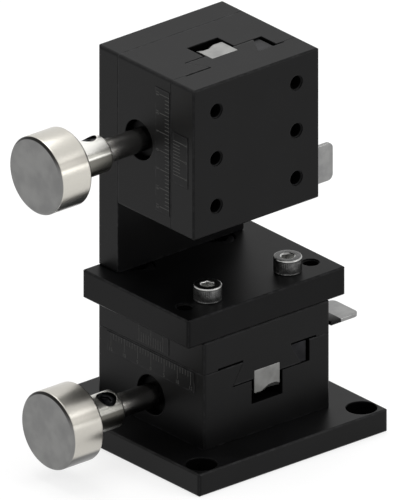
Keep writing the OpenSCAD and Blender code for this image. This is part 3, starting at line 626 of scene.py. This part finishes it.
def marked_strip(node):
    """Black finish whose cut marks hold a worn grey fill."""
    low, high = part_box(node)
    finish = black_anodised(node, soft_edges=False)
    tree = finish.node_tree
    spot = coordinates(tree)
    cut = link_math(tree, "GREATER_THAN", spot[0], low[0] + mark_start_depth)
    for axis in (1, 2):
        off = off_middle(tree, spot[axis], low[axis], high[axis])
        inside = link_math(tree, "LESS_THAN", off, (high[axis] - low[axis]) / 2 - strip_edge)
        cut = times(tree, cut, inside)
    filled = times(tree, cut, fade(tree, noise(tree, fill_worn_size), *mark_worn_band))
    base = tree.nodes["Principled BSDF"].inputs["Base Color"]
    tree.links.new(mix_colour(tree, filled, base.links[0].from_socket, fill_colour), base)
    return finish


def fill_paint():
    """The thin worn paint of the numerals."""
    finish, tree, shader = new_finish("numeral_fill", 0)
    worn = noise(tree, fill_worn_size)
    tone = mix_colour(tree, fade(tree, worn, *numeral_worn_band), fill_dull, fill_colour)
    tree.links.new(tone, shader.inputs["Base Color"])
    roughen(tree, shader, worn, *fill_rough)
    shader.inputs["Specular IOR Level"].default_value = fill_gloss
    return finish


def finished_mesh(thing):
    """A mesh of an object as its curve or its modifiers make it."""
    bpy.context.view_layer.update()
    view = bpy.context.evaluated_depsgraph_get()
    return bpy.data.meshes.new_from_object(thing.evaluated_get(view))


def numeral(text):
    """A flat numeral, centred on its foot, one unit high and about a hundredth thick."""
    curve = bpy.data.curves.new("numeral", "FONT")
    curve.body = text
    curve.align_x = "CENTER"
    curve.extrude = numeral_thickness_share
    curve.resolution_u = numeral_curve_steps
    holder = put("numeral", curve)
    data = finished_mesh(holder)
    bpy.data.objects.remove(holder)
    bpy.data.curves.remove(curve)
    shape = shape_of(data)
    bpy.data.meshes.remove(data)
    bmesh.ops.remove_doubles(shape, verts=shape.verts, dist=numeral_same_spot_share)
    return shape


def put_numerals(unit, node, plan, foot_height):
    """Numerals on a strip's face, from a list of (text, place along the travel)."""
    face_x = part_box(node)[0][0] - unit_place[unit].translation[0]
    upright = Matrix(((0, 0, -1, 0), (-1, 0, 0, 0), (0, 1, 0, 0), (0, 0, 0, 1)))
    size = Matrix.Diagonal((numeral_size, numeral_size, numeral_size, 1))
    shapes = []
    for text, y in plan:
        seat = unit_place[unit] @ Matrix.Translation((face_x, y, foot_height))
        shapes.append(placed(numeral(text), seat @ upright @ size))
    add_piece(node + "_numerals", joined(shapes), numeral_paint, node, in_its_place=False)


numeral_paint = fill_paint()
for unit in unit_place:
    strip = f"{unit}_scale_strip"
    dress(strip, marked_strip(strip))
    put_numerals(unit, strip, scale_plan, scale_foot_height)

# Bushes, stop pins and the bushes' screws
# Bronze bushes pressed into the body carry the shaft. A blacked set screw holds
# the front one, and a hard steel pin stands in the body for the travel's end.
bronze_tones = ((0.3, 0.18, 0.07, 1), (0.38, 0.24, 0.1, 1))
bronze_rough = (0.25, 0.4)
turned_grain = 0.2 * mm
turned_grain_depth = 0.003 * mm
bronze = plain_metal("bearing_bronze", bronze_tones, bronze_rough, turned_grain, turned_grain_depth)
for unit in unit_place:
    dress(f"{unit}_front_bush", bronze)
    dress(f"{unit}_rear_bush", bronze)
    dress(f"{unit}_bush_screw", black_steel)
    dress(f"{unit}_stop_pin", zinc_steel)

# Pinion shafts
# Each shaft is ground steel with its helical pinion cut on it, and turns in the
# bushes, with a painted highlight beside the boss. A washer and an open ring keep it in and give it its
# drag; they are near black, as painted shade in the body's recess.
# Near-black washer and ring: painted shade in the body's recess.
washer_shade_tones = ((0.0015, 0.0015, 0.0015, 1), (0.004, 0.004, 0.004, 1))
washer_shade_rough = (0.4, 0.55)
shaft_tones = ((0.2, 0.195, 0.185, 1), (0.28, 0.275, 0.265, 1))
shaft_rough = (0.2, 0.3)
shaft_grain = 0.12 * mm
shaft_grain_depth = 0.001 * mm
shaft_grain_stretch = (8, 0.4, 0.4)
# Painted highlight on the shaft beside the boss.
shaft_painted_highlight = (0.52, 0.505, 0.475, 1)
shaft_highlight_end = (-30.6 * mm, -27.8 * mm)


def shaft_finish():
    """Ground steel with a painted highlight beside the boss, which fades to the plain tone towards the
    body.
    """
    finish = plain_metal("ground_shaft_steel", shaft_tones, shaft_rough, shaft_grain,
                         shaft_grain_depth, shaft_grain_stretch)
    tree = finish.node_tree
    # Painted highlight: bright near the boss, fading to the plain tone towards the body.
    past_highlight = fade(tree, coordinates(tree)[0], *shaft_highlight_end)
    base = tree.nodes["Principled BSDF"].inputs["Base Color"]
    tree.links.new(mix_colour(tree, past_highlight, shaft_painted_highlight, base.links[0].from_socket), base)
    return finish


washer_shade_steel = plain_metal("washer_painted_shade_steel", washer_shade_tones, washer_shade_rough,
                          turned_grain, turned_grain_depth)
shaft_steel = shaft_finish()
for unit in unit_place:
    dress(f"{unit}_pinion_shaft", shaft_steel)
    dress(f"{unit}_drag_washer", washer_shade_steel)
    dress(f"{unit}_retaining_ring", washer_shade_steel)

# Knobs
# Turned from one bar of aluminium with their bosses, with a satin face and a
# polished rim. The rim, the boss and the face's chamfer carry painted reflection bands, and the set
# screw's hole carries painted shade. A set screw in the boss's tapped hole bites on the shaft's flat.
axis_height = 8 * mm
boss_end = 31.8 * mm
knob_back = 43 * mm
knob_face = 53 * mm
knob_r = 10 * mm
boss_r = 4.75 * mm
bore_r = 3.02 * mm
bore_end = 45.5 * mm
knob_chamfer = 0.6 * mm
knob_edge_round = 0.2 * mm
bore_edge_round = 0.12 * mm
boss_edge_round = 0.15 * mm
boss_foot_round = 0.25 * mm
face_centre_r = 0.8 * mm
knob_hole_d = 5 * mm
knob_hole_from_end = 3.6 * mm
knob_hole_turn = {"x": 70, "z": 200}
knob_hole_margin = 0.03 * mm
drill_overrun = 1 * mm
knob_screw_sunk = 0.7 * mm
knob_screw_foot = 2.6 * mm
knob_screw_socket = 2.5 * mm
knob_screw_pitch = 0.6 * mm
set_screw_gap = 0.05 * mm
set_screw_thread_share = 0.4
set_screw_point = 0.4 * mm
set_screw_point_in = 0.2 * mm
set_screw_mouth = 0.2 * mm
set_screw_mouth_in = 0.1 * mm
set_screw_rim = 0.25 * mm
set_screw_rim_depth = 0.15 * mm

knob_cloud = 5 * mm
# Painted reflection: the rim and boss tones below follow the world normal's height, with a painted glint
# band, in place of reflections of the room and the floor.
rim_reflection_light = {"x": (0.53, 0.51, 0.465, 1), "z": (0.57, 0.55, 0.5, 1)}
rim_painted_glint = (0.17, 0.163, 0.147, 1)
rim_reflection_low = {"x": (0.11, 0.11, 0.107, 1), "z": (0.8, 0.79, 0.77, 1)}
boss_reflection_light = {"x": (0.5, 0.49, 0.455, 1), "z": (0.98, 0.97, 0.92, 1)}
boss_painted_glint = {"x": (0.24, 0.236, 0.216, 1), "z": (0.26, 0.255, 0.233, 1)}
boss_reflection_low = {"x": (0.95, 0.94, 0.89, 1), "z": (0.55, 0.54, 0.5, 1)}
boss_reflection_dark = {"x": (0.15, 0.145, 0.128, 1), "z": (0.21, 0.203, 0.18, 1)}
face_light = (0.225, 0.225, 0.22, 1)
face_dark = (0.18, 0.18, 0.178, 1)
# Painted shade on the face's upward-facing chamfer.
chamfer_painted_shade = (0.02, 0.019, 0.018, 1)
# Painted shade inside the set screw's hole.
hole_painted_shade = (0.004, 0.004, 0.004, 1)
painted_glint_rise = ((0.34, 0.46), (0.56, 0.7))
rim_reflection_rise = (-0.52, -0.38)
boss_reflection_rise = (-0.2, 0.2)
boss_dark_reflection_rise = ((-0.6, -0.45), (0.28, 0.42))
chamfer_shade_rise = (0.15, 0.55)
boss_fade = 0.1 * mm
face_fade = (0.7 * mm, 0.5 * mm)
face_ring_pitch = 0.16 * mm
face_ring_share = 0.4
knob_grain = 0.15 * mm
knob_grain_stretch = (6, 0.5, 0.5)
knob_grain_share = 0.3
knob_mark_depth = 0.002 * mm
knob_rough = 0.24
face_rough_more = 0.14
grain_rough_more = 0.08


def distance(tree, first, second):
    """The distance that two lengths at right angles span."""
    squares = link_math(tree, "ADD", times(tree, first, first), times(tree, second, second))
    return link_math(tree, "SQRT", squares)


def band(tree, value, start, end):
    """One between two smooth steps, and zero before and after them."""
    return times(tree, fade(tree, value, *start), rest_of(tree, fade(tree, value, *end)))


def in_knob_hole(tree, unit, across_y, across_z, out):
    """One inside the set screw's hole and zero elsewhere."""
    turn = math.radians(knob_hole_turn[unit])
    aim = unit_place[unit].to_3x3() @ Vector((0, -math.cos(turn), math.sin(turn)))
    forward = link_math(tree, "ADD", times(tree, across_y, aim[1]), times(tree, across_z, aim[2]))
    sideways = link_math(tree, "SUBTRACT", times(tree, across_y, aim[2]), times(tree, across_z, aim[1]))
    along = link_math(tree, "SUBTRACT", out, boss_end + knob_hole_from_end)
    hole_reach = knob_hole_d / 2 + knob_hole_margin
    close = link_math(tree, "LESS_THAN", distance(tree, sideways, along), hole_reach)
    return times(tree, link_math(tree, "GREATER_THAN", forward, 0.0), close)


def knob_finish(unit):
    """Turned aluminium: a satin face with fine rings; painted reflection bands by the world normal's
    height on the rim, the boss and the face's chamfer, and painted shade in the set screw's hole.
    """
    finish, tree, shader = new_finish(f"turned_knob_{unit}", 1)
    centre = unit_place[unit] @ Vector((0, 0, axis_height))
    spot = coordinates(tree)
    across_y = link_math(tree, "SUBTRACT", spot[1], centre[1])
    across_z = link_math(tree, "SUBTRACT", spot[2], centre[2])
    spread = distance(tree, across_y, across_z)
    out = link_math(tree, "SUBTRACT", centre[0], spot[0])
    facing = tree.nodes.new("ShaderNodeSeparateXYZ")
    tree.links.new(tree.nodes.new("ShaderNodeNewGeometry").outputs["Normal"], facing.inputs[0])
    rise = facing.outputs[2]

    # Painted reflection bands on the rim and the boss, by the world normal's height.
    painted_glint = band(tree, rise, *painted_glint_rise)
    rim_reflection_tone = mix_colour(tree, fade(tree, rise, *rim_reflection_rise), rim_reflection_low[unit], rim_reflection_light[unit])
    rim_reflection_tone = mix_colour(tree, painted_glint, rim_reflection_tone, rim_painted_glint)
    boss_reflection_tone = mix_colour(tree, fade(tree, rise, *boss_reflection_rise), boss_reflection_low[unit], boss_reflection_light[unit])
    boss_reflection_tone = mix_colour(tree, painted_glint, boss_reflection_tone, boss_painted_glint[unit])
    boss_reflection_tone = mix_colour(tree, band(tree, rise, *boss_dark_reflection_rise), boss_reflection_tone, boss_reflection_dark[unit])
    cloud = fade(tree, noise(tree, knob_cloud, detail=2), *cloud_band)
    face_tone = mix_colour(tree, cloud, face_dark, face_light)
    # Painted shade on the chamfer, by the world normal's height.
    face_tone = mix_colour(tree, fade(tree, rise, *chamfer_shade_rise), face_tone, chamfer_painted_shade)
    on_boss = rest_of(tree, fade(tree, spread, boss_r, boss_r + boss_fade))
    on_face = fade(tree, out, knob_face - face_fade[0], knob_face - face_fade[1])
    tone = mix_colour(tree, on_boss, rim_reflection_tone, boss_reflection_tone)
    tone = mix_colour(tree, on_face, tone, face_tone)
    # Painted shade on the walls of the set screw's hole.
    in_hole = in_knob_hole(tree, unit, across_y, across_z, out)
    tree.links.new(mix_colour(tree, in_hole, tone, hole_painted_shade), shader.inputs["Base Color"])

    rings = link_math(tree, "SINE", times(tree, spread, 2 * math.pi / face_ring_pitch))
    grain = noise(tree, knob_grain, detail=2, stretch=knob_grain_stretch)
    marks = link_math(tree, "ADD", times(tree, times(tree, rings, on_face), face_ring_share),
                      times(tree, grain, knob_grain_share))
    rough = link_math(tree, "ADD", times(tree, on_face, face_rough_more),
                      times(tree, grain, grain_rough_more))
    tree.links.new(link_math(tree, "ADD", rough, knob_rough), shader.inputs["Roughness"])
    add_bump(tree, shader, marks, knob_mark_depth)
    return finish


def cut_away(piece, tool):
    """Cuts a tool shape out of a piece for good."""
    cutter = put("tool", mesh_of("tool", tool))
    cut = piece.modifiers.new("cut", "BOOLEAN")
    cut.operation = "DIFFERENCE"
    cut.solver = "EXACT"
    cut.object = cutter
    old, cutter_data = piece.data, cutter.data
    result = finished_mesh(piece)
    piece.modifiers.clear()
    piece.data = result
    shape = shape_of(result)
    mark_sharp_edges(shape)
    shape.to_mesh(result)
    shape.free()
    bpy.data.meshes.remove(old)
    bpy.data.objects.remove(cutter)
    bpy.data.meshes.remove(cutter_data)
    result.name = piece.name


def set_screw(d, length, socket, pitch):
    """A threaded set screw round Z, with its socket's mouth at zero."""
    crest_r = d / 2 - set_screw_gap
    root_r = crest_r - set_screw_thread_share * pitch
    socket_r = socket / 2
    rings = thread_rings(set_screw_point - length, -set_screw_mouth, root_r, crest_r, pitch)
    return turned([(-length, root_r - set_screw_point_in, "round")] + rings + [
        (0, root_r - set_screw_mouth_in, "round"),
        (0, socket_r + set_screw_rim, "round"),
        (-set_screw_rim_depth, socket_r, "hex"),
        (-length / 2, socket_r, "hex"),
        (-length / 2 - set_screw_rim_depth, socket_r / 3, "round"),
    ])


for unit, place in unit_place.items():
    shape = turned(softened([
        (bore_end, bore_r, "round", 0),
        (boss_end, bore_r, "round", bore_edge_round),
        (boss_end, boss_r - knob_chamfer, "round", boss_edge_round),
        (boss_end + knob_chamfer, boss_r, "round", boss_edge_round),
        (knob_back, boss_r, "round", boss_foot_round),
        (knob_back, knob_r - knob_chamfer, "round", knob_edge_round),
        (knob_back + knob_chamfer, knob_r, "round", knob_edge_round),
        (knob_face - knob_chamfer, knob_r, "round", knob_edge_round),
        (knob_face, knob_r - knob_chamfer, "round", knob_edge_round),
        (knob_face, face_centre_r, "round", 0),
    ]))
    seat = place @ Matrix.Translation((0, 0, axis_height)) @ Matrix.Rotation(-math.pi / 2, 4, "Y")
    knob = add_piece(f"{unit}_knob_detail", placed(shape, seat), knob_finish(unit), f"{unit}_knob")
    hole = place @ Matrix.Translation((-boss_end - knob_hole_from_end, 0, axis_height))
    hole = hole @ Matrix.Rotation(math.radians(90 - knob_hole_turn[unit]), 4, "X")
    drill = turned([(0, knob_hole_d / 2, "round"), (boss_r + drill_overrun, knob_hole_d / 2, "round")])
    cut_away(knob, placed(drill, hole))
    top = boss_r - knob_screw_sunk
    screw = set_screw(knob_hole_d, top - knob_screw_foot, knob_screw_socket, knob_screw_pitch)
    add_piece(f"{unit}_knob_set_screw_detail", placed(screw, hole @ Matrix.Translation((0, 0, top))),
              black_steel, f"{unit}_knob_set_screw")

# Gibs and gib screws
# A dark steel strip lies between each tongue and the body's upright wall. Three
# set screws press it on, so that the slide runs without play.
gib_screw_l = 6.2 * mm
gib_screw_socket = 1.5 * mm
for unit in unit_place:
    dress(f"{unit}_gib", black_steel)
    screws = []
    for seat in gib_seats[unit]:
        screw = set_screw(gib_screw_d, gib_screw_l, gib_screw_socket, gib_screw_pitch)
        screws.append(placed(screw, seat @ Matrix.Translation((0, 0, -gib_screw_sunk))))
    add_piece(f"{unit}_gib_screws_detail", joined(screws), black_steel, f"{unit}_gib_screws")

# Clamps
# A stamped sheet lever turns each clamp screw, which pushes a bronze pad against
# the gib. The lever's leg and bend are near black and its tab is bare, with a fine grain.
clamp_screw = {"head_h": 2.2 * mm, "shank_d": 3.9 * mm, "socket": 2.5 * mm}
lever_edge = 0.14 * mm
lever_edge_segments = 3
lever_corner_turn = math.radians(60)
lever_flat_turn = math.radians(1)
lever_same_spot = 0.001 * mm
tab_start = (23.4 * mm, 23.6 * mm)
tab_tones = ((0.22, 0.22, 0.22, 1), (0.28, 0.28, 0.275, 1))
leg_tone = (0.012, 0.012, 0.012, 1)
lever_rough = (0.3, 0.42)
lever_cloud = 3 * mm
lever_grain = 0.25 * mm
lever_grain_depth = 0.003 * mm
lever_grain_stretch = (1, 0.25, 1)


def lever_finish():
    """Near-black steel on the leg and the bend, and bare sheet steel on the tab."""
    finish, tree, shader = new_finish("stamped_lever_steel", 1)
    grain = noise(tree, lever_grain, stretch=lever_grain_stretch)
    bare = mix_colour(tree, fade(tree, noise(tree, lever_cloud), *cloud_band), *tab_tones)
    on_tab = fade(tree, coordinates(tree)[0], *tab_start)
    tree.links.new(mix_colour(tree, on_tab, leg_tone, bare), shader.inputs["Base Color"])
    roughen(tree, shader, grain, *lever_rough)
    add_bump(tree, shader, grain, lever_grain_depth)
    return finish


lever_steel = lever_finish()
for unit in unit_place:
    dress(f"{unit}_clamp_pad", bronze)
    put_cap_screws(f"{unit}_clamp_screw", (1, 0, 0), clamp_screw, black_steel)
    shape = shape_of(nodes[f"{unit}_clamp_lever"].data)
    bmesh.ops.remove_doubles(shape, verts=shape.verts, dist=lever_same_spot)
    bmesh.ops.dissolve_limit(shape, angle_limit=lever_flat_turn, verts=shape.verts, edges=shape.edges)
    corners = [edge for edge in shape.edges
               if len(edge.link_faces) == 2 and edge.calc_face_angle(0) > lever_corner_turn]
    bmesh.ops.bevel(shape, geom=corners, affect="EDGES", offset=lever_edge, offset_type="OFFSET",
                    segments=lever_edge_segments, profile=0.5, material=-1)
    bmesh.ops.recalc_face_normals(shape, faces=shape.faces)
    add_piece(f"{unit}_clamp_lever_detail", shape, lever_steel, f"{unit}_clamp_lever")

# Tables
# The moving halves, milled from one block each with the dovetail's tongue, with
# six tapped holes on a half inch grid. The bridge plate covers the lower one's.
half_inch = 12.7 * mm
table_hole_d = 4 * mm
table_thread_depth = 5.6 * mm
m4_pitch = 0.7 * mm
table_finish = {unit: black_anodised(f"{unit}_table") for unit in unit_place}
for unit in unit_place:
    dress(f"{unit}_table", table_finish[unit])
table_top = z_high[1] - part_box("z_table")[0][1]
table_seats = [unit_place["z"] @ Matrix.Translation((column * half_inch, row * half_inch, table_top))
               for column in (-1, 1) for row in (-1, 0, 1)]
put_threads("z_table_threads", "z_table", table_finish["z"], table_seats,
            table_hole_d, table_thread_depth, m4_pitch)

# Racks and rack screws
# Steel racks with helical teeth, milled, let into the tongue and held by two
# small cap screws. The lower one is painted darker than the upper, as painted shade in its dark window.
# The lower rack's darker tones are painted shade.
rack_tones_lit_and_shaded = {"x": ((0.14, 0.14, 0.135, 1), (0.2, 0.2, 0.195, 1)),
              "z": ((0.26, 0.26, 0.255, 1), (0.35, 0.35, 0.34, 1))}
rack_rough = (0.25, 0.4)
rack_grain = 0.2 * mm
rack_grain_depth = 0.004 * mm
for unit in unit_place:
    dress(f"{unit}_rack", plain_metal(f"milled_rack_steel_{unit}", rack_tones_lit_and_shaded[unit], rack_rough,
                                      rack_grain, rack_grain_depth))
    dress(f"{unit}_rack_screws", zinc_steel)

# Vernier strips
# A short strip with ten vernier divisions, pressed into each table's side, black
# with the same thin paint as the scale beside it.
vernier_foot_height = 25.2 * mm
vernier_end = 4.5 * mm
vernier_plan = [("5", -vernier_end), ("0", 0), ("5", vernier_end)]
for unit in unit_place:
    strip = f"{unit}_vernier_strip"
    dress(strip, marked_strip(strip))
    put_numerals(unit, strip, vernier_plan, vernier_foot_height)

# Bridge plate and its screws
# A black plate on the lower table. Two nickel plated cap screws stand on it, two
# black ones are sunk at the riser's foot, and two tapped holes are left open.
m4_screw = {"head_h": 4 * mm, "shank_d": 3.9 * mm, "socket": 3 * mm}
# The bridge's lower gloss paints it darker, as painted shade under the upper slide.
bridge_shade_gloss = 0.1
bridge_hole_d = 4.4 * mm
bridge_hole_x = 20 * mm
bridge_thread_depth = 6 * mm
bridge_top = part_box("bridge_plate")[1][2]
head_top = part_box("bridge_front_screws")[1][2]
# Painted light on the standing screws: a darker top, and painted highlights on the top edge and in the
# socket.
head_side_tones = ((0.08, 0.08, 0.08, 1), (0.18, 0.18, 0.177, 1))
head_top_shade_tones = ((0.07, 0.07, 0.069, 1), (0.1, 0.1, 0.099, 1))
head_edge_highlight = (0.42, 0.42, 0.41, 1)
head_socket_highlight = (0.5, 0.5, 0.49, 1)
head_edge_highlight_fade = (0.42 * mm, 0.34 * mm)
head_top_shade_fade = (0.03 * mm, 0.01 * mm)
head_socket_highlight_fade = (1.85 * mm, 1.95 * mm)
head_cloud = 1.5 * mm
nickel_rough = (0.22, 0.36)
nickel_grain_depth = 0.002 * mm


def nickel_finish():
    """Nickel plate on the standing screws: grey sides, with a painted darker top and painted highlights
    on the top edge and in the socket.
    """
    finish, tree, shader = new_finish("nickel_plated_steel", 1)
    spot = coordinates(tree)
    off_x = link_math(tree, "SUBTRACT", link_math(tree, "ABSOLUTE", spot[0]), half_inch)
    off_axis = distance(tree, off_x, link_math(tree, "ADD", spot[1], half_inch))
    cloud = fade(tree, noise(tree, head_cloud), *cloud_band)
    side = mix_colour(tree, cloud, *head_side_tones)
    top = mix_colour(tree, cloud, *head_top_shade_tones)
    on_edge = fade(tree, spot[2], head_top - head_edge_highlight_fade[0], head_top - head_edge_highlight_fade[1])
    on_top = fade(tree, spot[2], head_top - head_top_shade_fade[0], head_top - head_top_shade_fade[1])
    tone = mix_colour(tree, on_edge, side, head_edge_highlight)
    tone = mix_colour(tree, on_top, tone, top)
    in_socket = rest_of(tree, fade(tree, off_axis, *head_socket_highlight_fade))
    in_socket = times(tree, in_socket, rest_of(tree, on_top))
    tree.links.new(mix_colour(tree, in_socket, tone, head_socket_highlight), shader.inputs["Base Color"])
    grain = noise(tree, screw_grain)
    roughen(tree, shader, grain, *nickel_rough)
    add_bump(tree, shader, grain, nickel_grain_depth)
    return finish


bridge_finish = black_anodised("bridge_plate", gloss=bridge_shade_gloss)
dress("bridge_plate", bridge_finish)
bridge_seats = [Matrix.Translation((x, -half_inch, bridge_top)) for x in (-bridge_hole_x, bridge_hole_x)]
put_threads("bridge_threads", "bridge_plate", bridge_finish, bridge_seats,
            bridge_hole_d, bridge_thread_depth, m4_pitch)
put_cap_screws("bridge_front_screws", (0, 0, 1), m4_screw, nickel_finish())
put_cap_screws("bridge_rear_screws", (0, 0, 1), m4_screw, black_steel)

# Riser plate, its screws and dowels
# The upright plate that carries the upper slide. Two dowels and two cap screws
# hold its foot from below, and four sunk screws hold the upper body to it.
dress("riser_plate", black_anodised("riser_plate"))
put_cap_screws("riser_screws", (0, 0, -1), m3_screw, zinc_steel)
dress("riser_dowels", zinc_steel)
put_cap_screws("riser_body_screws", (0, 1, 0), m3_screw, black_steel)
